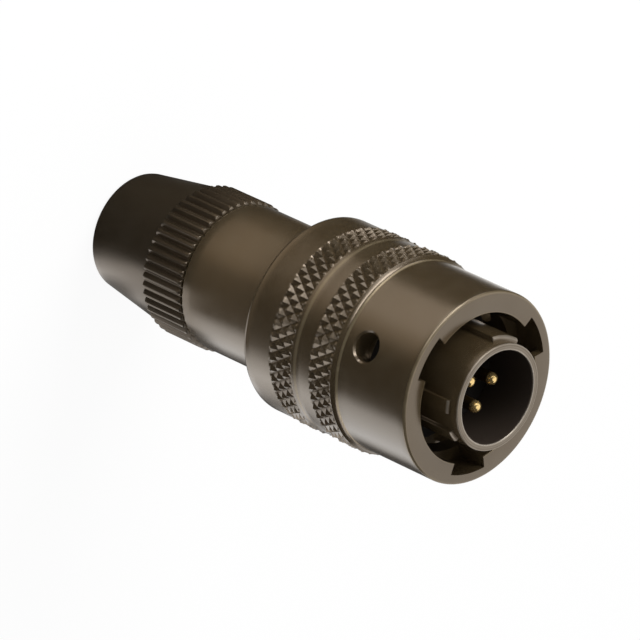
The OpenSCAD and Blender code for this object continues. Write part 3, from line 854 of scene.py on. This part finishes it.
class CONNECTOR_OT_plug_shell(bpy.types.Operator):
    """Build the plug shell with its keyed barrel"""
    bl_idname = "connector.plug_shell"
    bl_label = "Plug shell"

    def execute(self, context):
        settings = context.scene.connector
        size = settings.shell
        rim = SHELL_HIGH.z
        keys_end = rim - size.key_back
        shell = grid_piece("plug_shell_turned", shell_points(size))
        edges = [
            (size.barrel_r, rim, 0.25 * MM, 0.6), (size.barrel_bore_r, rim, 0.3 * MM, 1.3),
            ((size.barrel_r + size.barrel_bore_r) / 2, rim, 0.2 * MM, 0.3),
            (size.barrel_r + size.main_key_h, keys_end, 0.25 * MM, 0.7),
            (size.barrel_r + size.key_h, keys_end, 0.35 * MM, 0.7)]
        # The hollow radius paints shade: the barrel's bore takes black moulding colour
        finish = olive_finish("olive_shell", settings.finishes, edges, settings.finishes.rim,
                              hollow=size.barrel_bore_r + size.edge)
        put_on(crisp(shell), "root", "plug_shell", finish)
        return {"FINISHED"}


def backshell_points(size):
    """The backshell: an outline spun about the axis, whose spigot is cut by a thread. The cut is a
    triangle wave of the height over the pitch less the turn, with its crests cut flat, which fades at both
    ends and gives way to a plain neck at the shoulder."""
    low, high, body_r = BACKSHELL_LOW.z, BACKSHELL_HIGH.z, BACKSHELL_HIGH.x
    seat = low + size.spigot_len
    web = low + size.gland_depth
    chamber = web + size.web_t
    socket = high - size.socket_len
    edge = size.edge
    outline = rounded([
        (size.gland_bore_r, low, edge / 3), (size.spigot_r, low, edge), (size.spigot_r, seat, 0),
        (body_r, seat, edge), (body_r, high, edge), (size.socket_r, high, edge / 2),
        (size.socket_r, socket, 0), (size.chamber_r, socket, 0), (size.chamber_r, chamber, 0),
        (size.web_bore_r, chamber, edge / 3), (size.web_bore_r, web, edge / 3),
        (size.gland_bore_r, web, 0)])
    on_spigot = np.isclose(outline[:, 0], size.spigot_r)
    on_spigot &= np.roll(on_spigot, -1)
    outline = divided(outline, np.where(on_spigot, size.thread_pitch / 12, COARSE))
    turn = whole_turn(AROUND)
    r, z = outline[:, :1], outline[:, 1:]
    threaded = np.abs(r - size.spigot_r) < 1e-3 * MM
    fade = 0.2 * MM
    neck_z = seat - size.thread_relief
    ends = smooth((z - low - edge) / edge) * smooth((neck_z - z) / edge)
    neck = smooth((z - neck_z) / fade) * smooth((seat - z) / fade)
    valley = np.maximum(0, 1.25 * tent(z / size.thread_pitch - turn / (2 * np.pi)) - 0.25)
    depth = size.thread_depth * np.maximum(valley * ends, neck)
    return spun(r - threaded * depth, z, turn)


class CONNECTOR_OT_backshell(bpy.types.Operator):
    """Build the backshell with the thread of its spigot"""
    bl_idname = "connector.backshell"
    bl_label = "Backshell"

    def execute(self, context):
        settings = context.scene.connector
        size = settings.backshell
        body_r, seat, high = BACKSHELL_HIGH.x, BACKSHELL_LOW.z + size.spigot_len, BACKSHELL_HIGH.z
        shell = grid_piece("backshell_turned", backshell_points(size))
        edges = [(body_r, seat, 0.3 * MM, 0.3), (body_r, high, 0.3 * MM, 0.3)]
        finish = olive_finish("olive_backshell", settings.finishes, edges, settings.finishes.rub_and_highlight)
        put_on(crisp(shell), "root", "backshell", finish)
        return {"FINISHED"}


def nut_points(size):
    """The clamp nut: an outline spun about the axis and raised by straight ridges. Across a ridge the
    height is the flank's slope held between foot and top, with its upper corners eased by a bell curve, and
    along it a quarter circle rounds both ends."""
    low, high = NUT_LOW.z, NUT_HIGH.z
    knurl_z = high - size.ridge_len
    edge = 0.12 * MM
    ends = size.ridge_round * np.array([0, 1 / 8, 1 / 2, 1, 2])
    ridge_rows = (*(knurl_z + ends), *(high - ends[::-1]))
    outline = divided(rounded([
        (size.cable_r + size.entry_chamfer, low, edge), (size.tail_r, low, size.tail_round),
        *((size.tail_top_r, row, 0) for row in ridge_rows), (size.thread_r, high, 3 * edge),
        (size.thread_r, size.pocket_top, 0), (size.pocket_r, size.pocket_top, 0),
        (size.pocket_r, size.end_wall, 0), (size.cable_r, size.end_wall, edge),
        (size.cable_r, low + size.entry_chamfer, edge)]), FINE)
    half_top, half_foot = size.ridge_top / 2, size.ridge_foot / 2
    near = 0.025
    one_side = np.array([half_top / 2, half_top - near, half_top, half_top + near,
                         (half_top + half_foot) / 2, half_foot - near, half_foot, 0.48])
    part = np.concatenate([-one_side[::-1], one_side])
    turn = ((np.arange(size.ridges)[:, None] + part) * 2 * np.pi / size.ridges).ravel()[None]
    flank = (half_foot - np.abs(np.tile(part, size.ridges))[None]) / (half_foot - half_top)
    ridge = np.clip(flank, 0, 1) - 0.06 * np.exp(-((flank - 1) / 0.18) ** 2)
    r, z = outline[:, :1], outline[:, 1:]
    on_knurl = (r >= size.tail_top_r - 1e-4 * MM) & (z >= knurl_z)
    along = np.clip(np.minimum(z - knurl_z, high - z) / size.ridge_round, 0, 1)
    room = np.sqrt(1 - (1 - along) ** 2)
    lift = np.where(on_knurl, np.minimum(np.maximum(ridge, 0), room), 0)
    return spun(r + lift * (size.ridge_r - size.tail_top_r), z, turn)


class CONNECTOR_OT_clamp_nut(bpy.types.Operator):
    """Build the cable clamp nut with its straight knurl"""
    bl_idname = "connector.clamp_nut"
    bl_label = "Clamp nut"

    def execute(self, context):
        settings = context.scene.connector
        size = settings.nut
        bulge = 0.3 * size.tail_round
        nut = grid_piece("clamp_nut_turned", nut_points(size))
        edges = [(size.tail_r - bulge, NUT_LOW.z + bulge, 0.5 * MM, 0.35)]
        # Depth 0.55 paints shade: the nut's coat darker, as its cone faces down away from the light
        finish = olive_finish(
            "olive_nut", settings.finishes, edges, settings.finishes.rub_and_highlight, depth=0.55, satin=0.26)
        put_on(crisp(nut), "nut", "clamp_nut", finish)
        return {"FINISHED"}


def pin_angles(size):
    """Where the three pins stand, a third of a turn apart."""
    return size.pin_at + np.arange(3) * 2 * np.pi / 3


def contact_points(size, low, tip, at):
    """A contact spun about its own axis: bored solder cup, collar, and pin with a round tip. The cup's rim
    climbs on the side that is open, by a smooth step of the cosine of the turn."""
    turn = whole_turn(48)
    open_side = size.cup_open * smooth((np.cos(turn) + 0.05) / 0.3)
    dome = np.linspace(0, np.pi / 2, 10)
    collar = low + size.cup_len
    neck = collar + size.collar_len
    cup_floor = low + size.cup_depth
    drill_point = 0.3 * MM
    edge = 0.08 * MM
    outline = np.array([
        (0, cup_floor + drill_point), (size.cup_bore_r, cup_floor), (size.cup_bore_r, low),
        (size.cup_r, low), (size.cup_r, cup_floor), (size.cup_r, collar - edge),
        (size.cup_r + edge, collar), (size.collar_r - edge, collar), (size.collar_r, collar + edge),
        (size.collar_r, neck - edge), (size.collar_r - edge, neck), (size.pin_r + edge, neck),
        (size.pin_r, neck + edge)])
    round_tip = np.stack([size.pin_r * np.cos(dome), tip - size.pin_r + size.pin_r * np.sin(dome)], 1)
    outline = np.concatenate([outline, round_tip])
    on_rim = outline[:, 1:] == low
    axis = size.circle_r * np.array([np.cos(at), np.sin(at), 0])
    return spun(outline[:, :1], outline[:, 1:] + on_rim * open_side, turn + at) + axis


class CONNECTOR_OT_contacts(bpy.types.Operator):
    """Build the gilt pin contacts"""
    bl_idname = "connector.contacts"
    bl_label = "Pin contacts"

    def execute(self, context):
        settings = context.scene.connector
        size = settings.contacts
        finish = gold_finish("gilt_contact", settings.finishes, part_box("pin_a")[1].z - size.pin_r)
        for node, at in zip(("pin_a", "pin_b", "pin_c"), pin_angles(size)):
            low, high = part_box(node)
            pin = grid_piece(node + "_gilt", contact_points(size, low.z, high.z, at), close_rows=False)
            put_on(crisp(pin), "root", node, finish)
        return {"FINISHED"}


def seal_points(size):
    """The face seal: a disc whose top rises round each pin by a smooth step of the distance from the pin's
    axis."""
    low, high = SEAL_LOW.z, SEAL_HIGH.z
    top = low + size.seal_t
    edge = 0.15 * MM
    turn = whole_turn(180)
    rim = [size.seal_r - 0.3 * edge, size.seal_r]
    r_top = np.concatenate([np.linspace(0, size.seal_r - edge, 64), rim])[:, None]
    drop = np.zeros_like(r_top)
    drop[-2:, 0] = 0.3 * edge, edge
    points = spun(r_top, top - drop, turn)
    rise = high - top
    for at in pin_angles(size):
        x, y = size.circle_r * np.cos(at), size.circle_r * np.sin(at)
        gap = np.hypot(points[..., 0] - x, points[..., 1] - y)
        points[..., 2] += rise * smooth((size.boss_foot_r - gap) / (size.boss_foot_r - size.boss_top_r))
    under = spun(np.array([[size.seal_r], [0]]), np.full((2, 1), low), turn)
    return np.concatenate([points, under])


class CONNECTOR_OT_seals(bpy.types.Operator):
    """Build the face seal, and finish the insulator, gasket, O-ring and cable bush"""
    bl_idname = "connector.seals"
    bl_label = "Insulator and seals"

    def execute(self, context):
        settings = context.scene.connector
        finishes = settings.finishes
        rubber = moulded_finish("seal_rubber", finishes.rubber, 3000, 0.55, 0.75)
        moulding = moulded_finish("insulator_moulding", finishes.moulding, 2200, 0.35, 0.5)
        seal = grid_piece("interfacial_seal_moulded", seal_points(settings.contacts), close_rows=False)
        put_on(crisp(seal), "root", "interfacial_seal", rubber)
        for node in ("shell_gasket", "backshell_o_ring", "gland_bush"):
            paint_node(node, rubber)
        paint_node("pin_insert", moulding)
        return {"FINISHED"}


def spring_points(size):
    """The wave spring: a four-cornered strip carried round the axis on a cosine wave."""
    swing = (SPRING_HIGH.z - SPRING_LOW.z - size.spring_t) / 2
    turn = whole_turn(288).T
    wave = SPRING_LOW.z + swing * (1 - np.cos(size.spring_waves * turn))
    radius = np.array([[size.spring_in_r, size.spring_out_r, size.spring_out_r, size.spring_in_r]])
    lift = size.spring_t * np.array([[0, 0, 1, 1]])
    return spun(radius, wave + lift, turn)


class CONNECTOR_OT_spring_set(bpy.types.Operator):
    """Build the wave spring, and finish the washers and rings"""
    bl_idname = "connector.spring_set"
    bl_label = "Spring and washers"

    def execute(self, context):
        settings = context.scene.connector
        steel = steel_finish("bright_steel", settings.finishes)
        spring = grid_piece("wave_spring_rolled", spring_points(settings.contacts))
        put_on(crisp(spring), "root", "wave_spring", steel)
        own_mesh(spring)
        for node in ("thrust_washer", "back_washer", "retaining_ring", "insert_retainer", "gland_washer",
                     "slip_washer"):
            paint_node(node, steel)
        return {"FINISHED"}


def annulus(name, foot, head):
    """A band spun about the axis, from its foot to its head, each given as (radius, height)."""
    rows = np.array([foot, head])
    return grid_piece(name, spun(rows[:, :1], rows[:, 1:], whole_turn(180)), close_rows=False)


def warmed(level, warmth=0):
    """A brightness as a colour: times 1, 1 less 0.18 warmth and 1 less 0.4 warmth."""
    return level, level * (1 - 0.18 * warmth), level * (1 - 0.4 * warmth)


def ring_glow(name, stops):
    """A card round the axis whose brightness changes with the angle. A stop is (degrees, brightness), with
    a warmth at its end where the light is tinted."""
    paint = Paint(bpy.data.materials.new(name))
    x = paint.node("ShaderNodeSeparateXYZ", {}, {0: paint.node("ShaderNodeTexCoord", output="Object")})
    turn = (x.output("Y").math("ARCTAN2", x) / (2 * math.pi)).math("FRACT")
    ramp = [(degrees / 360, warmed(*light)) for degrees, *light in stops]
    return paint.close(paint.node("ShaderNodeEmission", {}, {
        "Color": paint.node("ShaderNodeValToRGB", {"stops": ramp}, {"Fac": turn})}))


def backed(dark_from, dark_to, *lit, fade=4):
    """Stops of an upright card: white behind the part, dark between two angles but for its lit stops."""
    return ((0, 1), (dark_from - fade, 1), (dark_from, DARK), *lit,
            (dark_to, DARK), (dark_to + fade, 1), (360, 1))


def floor_material(finishes, glow):
    """A matt pale floor that keeps shadows, lifted towards plain white where it is seen."""
    paint = Paint(bpy.data.materials.new("studio_floor"))
    matt = paint.node("ShaderNodeBsdfDiffuse", {}, {"Color": solid(finishes.floor)})
    white = paint.node("ShaderNodeEmission", {}, {"Color": (1, 1, 1, 1)})
    return paint.close(paint.node("ShaderNodeMixShader", {}, {0: paint.seen() * glow, 1: matt, 2: white}))


def sky(strength):
    """A plain white sky, which gives less light than it shows."""
    paint = Paint(bpy.data.worlds.new("studio_sky"))
    lit = paint.node("ShaderNodeBackground", {}, {"Color": (1, 1, 1, 1), "Strength": strength})
    shown = paint.node("ShaderNodeBackground", {}, {"Color": (1, 1, 1, 1)})
    return paint.close(paint.node("ShaderNodeMixShader", {}, {0: paint.seen(), 1: lit, 2: shown}), "World")


def towards(azimuth, elevation):
    """Unit vector that points to an azimuth and an elevation."""
    level = math.cos(elevation)
    return Vector((level * math.cos(azimuth), level * math.sin(azimuth), math.sin(elevation)))


def softbox(name, studio):
    """The key light: an area lamp that faces a point on the axis from its own side."""
    lamp = bpy.data.lights.new(name, "AREA")
    lamp.energy, lamp.size = studio.key_power, studio.key_size
    stand = bpy.data.objects.new(name, lamp)
    out = towards(studio.key_azimuth, studio.key_elevation)
    stand.location = Vector((0, 0, studio.key_aim)) + out * studio.key_distance
    stand.rotation_mode = "QUATERNION"
    stand.rotation_quaternion = out.to_track_quat("Z", "Y")
    bpy.context.scene.collection.objects.link(stand)


def only_in_reflections(card):
    """The lens, the shadows and the matt surfaces don't see a card, only reflections do."""
    card.visible_camera = False
    card.visible_diffuse = False
    card.visible_shadow = False
    card.visible_transmission = False


# A softbox that three of the cards share
SIDE_BOX = ((232, DARK), (240, 1.9), (276, 1.9), (284, DARK))
# What the reflections see: rings of cards round the axis. Each row holds a name, the foot and the head as
# (radius, height) in millimetres, and the stops of its glow
CARDS = (
    ("tail", (6.9, 0.02), (13, 0.6), (
        (0, 0.4), (50, 0.12), (70, 0.04), (84, DARK), (190, DARK), (199, 0.1), (207, 0.4), (217, 1.1),
        (229, 1.45), (238, 0.85), (247, 0.38), (258, 0.3), (270, 0.3), (360, 0.4))),
    ("near", (13, 0.6), (31, 0.6), (
        (0, 0.4), (40, DARK), (200, DARK), (212, 1.2), (258, 1.2), (268, 0.1), (316, 0.1), (360, 0.4))),
    ("inner", (31, 0.6), (46, 0.6), (
        (0, 0.8), (12, 0.5), (22, 0.25, 0.5), (36, 0.04, 1), (60, 0.06, 1), (80, 0.25, 1), (98, 0.62, 0.9),
        (135, 0.78, 0.9), (151, 0.64, 1), (167, 0.29, 1), (190, 0.2, 1), (228, 0.15, 0.5), (244, 1.5, -0.2),
        (262, 1.9, -0.2), (277, 1.8, -0.2), (290, 0.5), (304, 0.1), (318, 0.1), (338, 0.4), (360, 0.8))),
    ("middle", (46, 0.6), (61, 0.6), (
        (0, 0.9), (14, 0.7), (24, 0.4), (36, DARK), (90, DARK, 1), (106, 0.08, 1.2), (120, 0.14, 1.2),
        (134, 0.12, 1.2), (148, 0.04, 1), (182, DARK), (205, 0.08), (220, 0.35), (236, 1.6, -0.2),
        (254, 2.1, -0.2), (266, 1.4), (280, 0.7), (292, 0.35), (325, 0.8), (360, 0.9))),
    ("outer", (61, 0.6), (88, 0.6), (
        (0, 1.6), (14, 0.9), (24, 0.2), (34, DARK), (76, DARK, 1), (90, 0.15, 0.7), (101, 0.95, 0.5),
        (135, 1.15, 0.5), (150, 0.75, 0.8), (165, 0.2, 1), (178, DARK, 1), (218, DARK), (230, 0.15),
        (244, 1.5, -0.3), (262, 1.8, -0.3), (282, 1.9, -0.3), (293, 0.9), (302, 0.08), (320, 0.08),
        (335, 0.6), (360, 1.6))),
    ("far", (88, 0.6), (116, 0.6), (
        (0, 0.1), (22, DARK), (90, DARK), (101, 0.95, 0.5), (135, 1.15, 0.5), (150, 0.75, 0.8),
        (165, 0.2, 1), (178, DARK, 1), (230, 0.1), (244, 1.5, -0.3), (282, 1.9, -0.3), (302, 0.08),
        (360, 0.1))),
    ("foot", (116, 0.6), (116, 8), backed(26, 288)),
    ("strong", (116, 8), (116, 24), backed(
        26, 288, (56, DARK), (64, 1.5), (92, 1.5), (100, 5), (118, 5), (128, 2.5), (140, DARK), *SIDE_BOX)),
    ("bright", (116, 24), (116, 31), backed(
        26, 288, (56, DARK), (64, 1.9), (90, 1.9), (100, 0.6), (142, 0.3), (150, DARK), *SIDE_BOX)),
    ("soft", (116, 31), (116, 50), backed(
        26, 288, (70, DARK), (80, 0.8), (124, 0.6), (150, DARK), *SIDE_BOX)),
    ("wall", (116, 50), (116, 62), backed(26, 288)),
    ("low_box", (116, 62), (116, 74), backed(26, 288, (82, DARK), (88, 7), (108, 7), (114, DARK))),
    ("box", (116, 74), (116, 104), backed(26, 288, (88, DARK), (96, 7), (140, 6), (162, DARK))),
    ("box_head", (116, 104), (95, 135), backed(
        62, 294, (88, DARK), (96, 1.1), (140, 1.1), (162, DARK), fade=6)),
    ("hood", (95, 135), (60, 190), backed(62, 294, fade=6)),
)


class CONNECTOR_OT_stage(bpy.types.Operator):
    """Set up the floor, cards, light and camera"""
    bl_idname = "connector.stage"
    bl_label = "Studio"

    def execute(self, context):
        scene = context.scene
        studio, finishes = scene.connector.studio, scene.connector.finishes
        scene.view_settings.view_transform = "Standard"
        floor = annulus("studio_floor", (0, 0), (studio.floor_r, 0))
        floor.data.materials.append(floor_material(finishes, studio.floor_glow))
        for ring, foot, head, stops in CARDS:
            card = annulus("card_" + ring, np.multiply(foot, MM), np.multiply(head, MM))
            card.data.materials.append(ring_glow("glow_" + ring, stops))
            only_in_reflections(card)
        scene.world = sky(studio.sky)
        softbox("softbox_key", studio)
        self.aim_camera(scene, studio)
        return {"FINISHED"}

    def aim_camera(self, scene, studio):
        """The camera stands at an azimuth and elevation from its aim, rolled about its line of sight."""
        back = towards(studio.azimuth, studio.elevation)
        right = Vector((0, 0, 1)).cross(back).normalized()
        up = back.cross(right)
        turned_right = right * math.cos(studio.roll) + up * math.sin(studio.roll)
        turned_up = up * math.cos(studio.roll) - right * math.sin(studio.roll)
        camera = bpy.data.objects.new("camera", bpy.data.cameras.new("camera"))
        camera.data.lens = studio.lens
        axes = Matrix((turned_right, turned_up, back)).transposed().to_4x4()
        camera.matrix_world = Matrix.Translation(Vector(studio.aim) + back * studio.distance) @ axes
        scene.collection.objects.link(camera)
        scene.camera = camera


OPERATORS = (
    CONNECTOR_OT_coupling_ring, CONNECTOR_OT_plug_shell, CONNECTOR_OT_backshell, CONNECTOR_OT_clamp_nut,
    CONNECTOR_OT_contacts, CONNECTOR_OT_seals, CONNECTOR_OT_spring_set, CONNECTOR_OT_stage)


class CONNECTOR_PT_sidebar(bpy.types.Panel):
    """Buttons that build the connector"""
    bl_idname = "CONNECTOR_PT_sidebar"
    bl_label = "Connector plug"
    bl_space_type = "VIEW_3D"
    bl_region_type = "UI"
    bl_category = "Connector"

    def draw(self, context):
        for operator in OPERATORS:
            self.layout.operator(operator.bl_idname)


CLASSES = (
    RingSizes, ShellSizes, BackshellSizes, NutSizes, ContactSizes, Finishes, StudioSettings,
    ConnectorSettings, *OPERATORS, CONNECTOR_PT_sidebar)


def register():
    for cls in CLASSES:
        bpy.utils.register_class(cls)
    bpy.types.Scene.connector = PointerProperty(type=ConnectorSettings)


def unregister():
    del bpy.types.Scene.connector
    for cls in reversed(CLASSES):
        bpy.utils.unregister_class(cls)


def main():
    """Registers the classes and builds every piece and the studio."""
    register()
    bpy.ops.connector.coupling_ring()
    bpy.ops.connector.plug_shell()
    bpy.ops.connector.backshell()
    bpy.ops.connector.clamp_nut()
    bpy.ops.connector.contacts()
    bpy.ops.connector.seals()
    bpy.ops.connector.spring_set()
    bpy.ops.connector.stage()


if __name__ == "__main__":
    main()
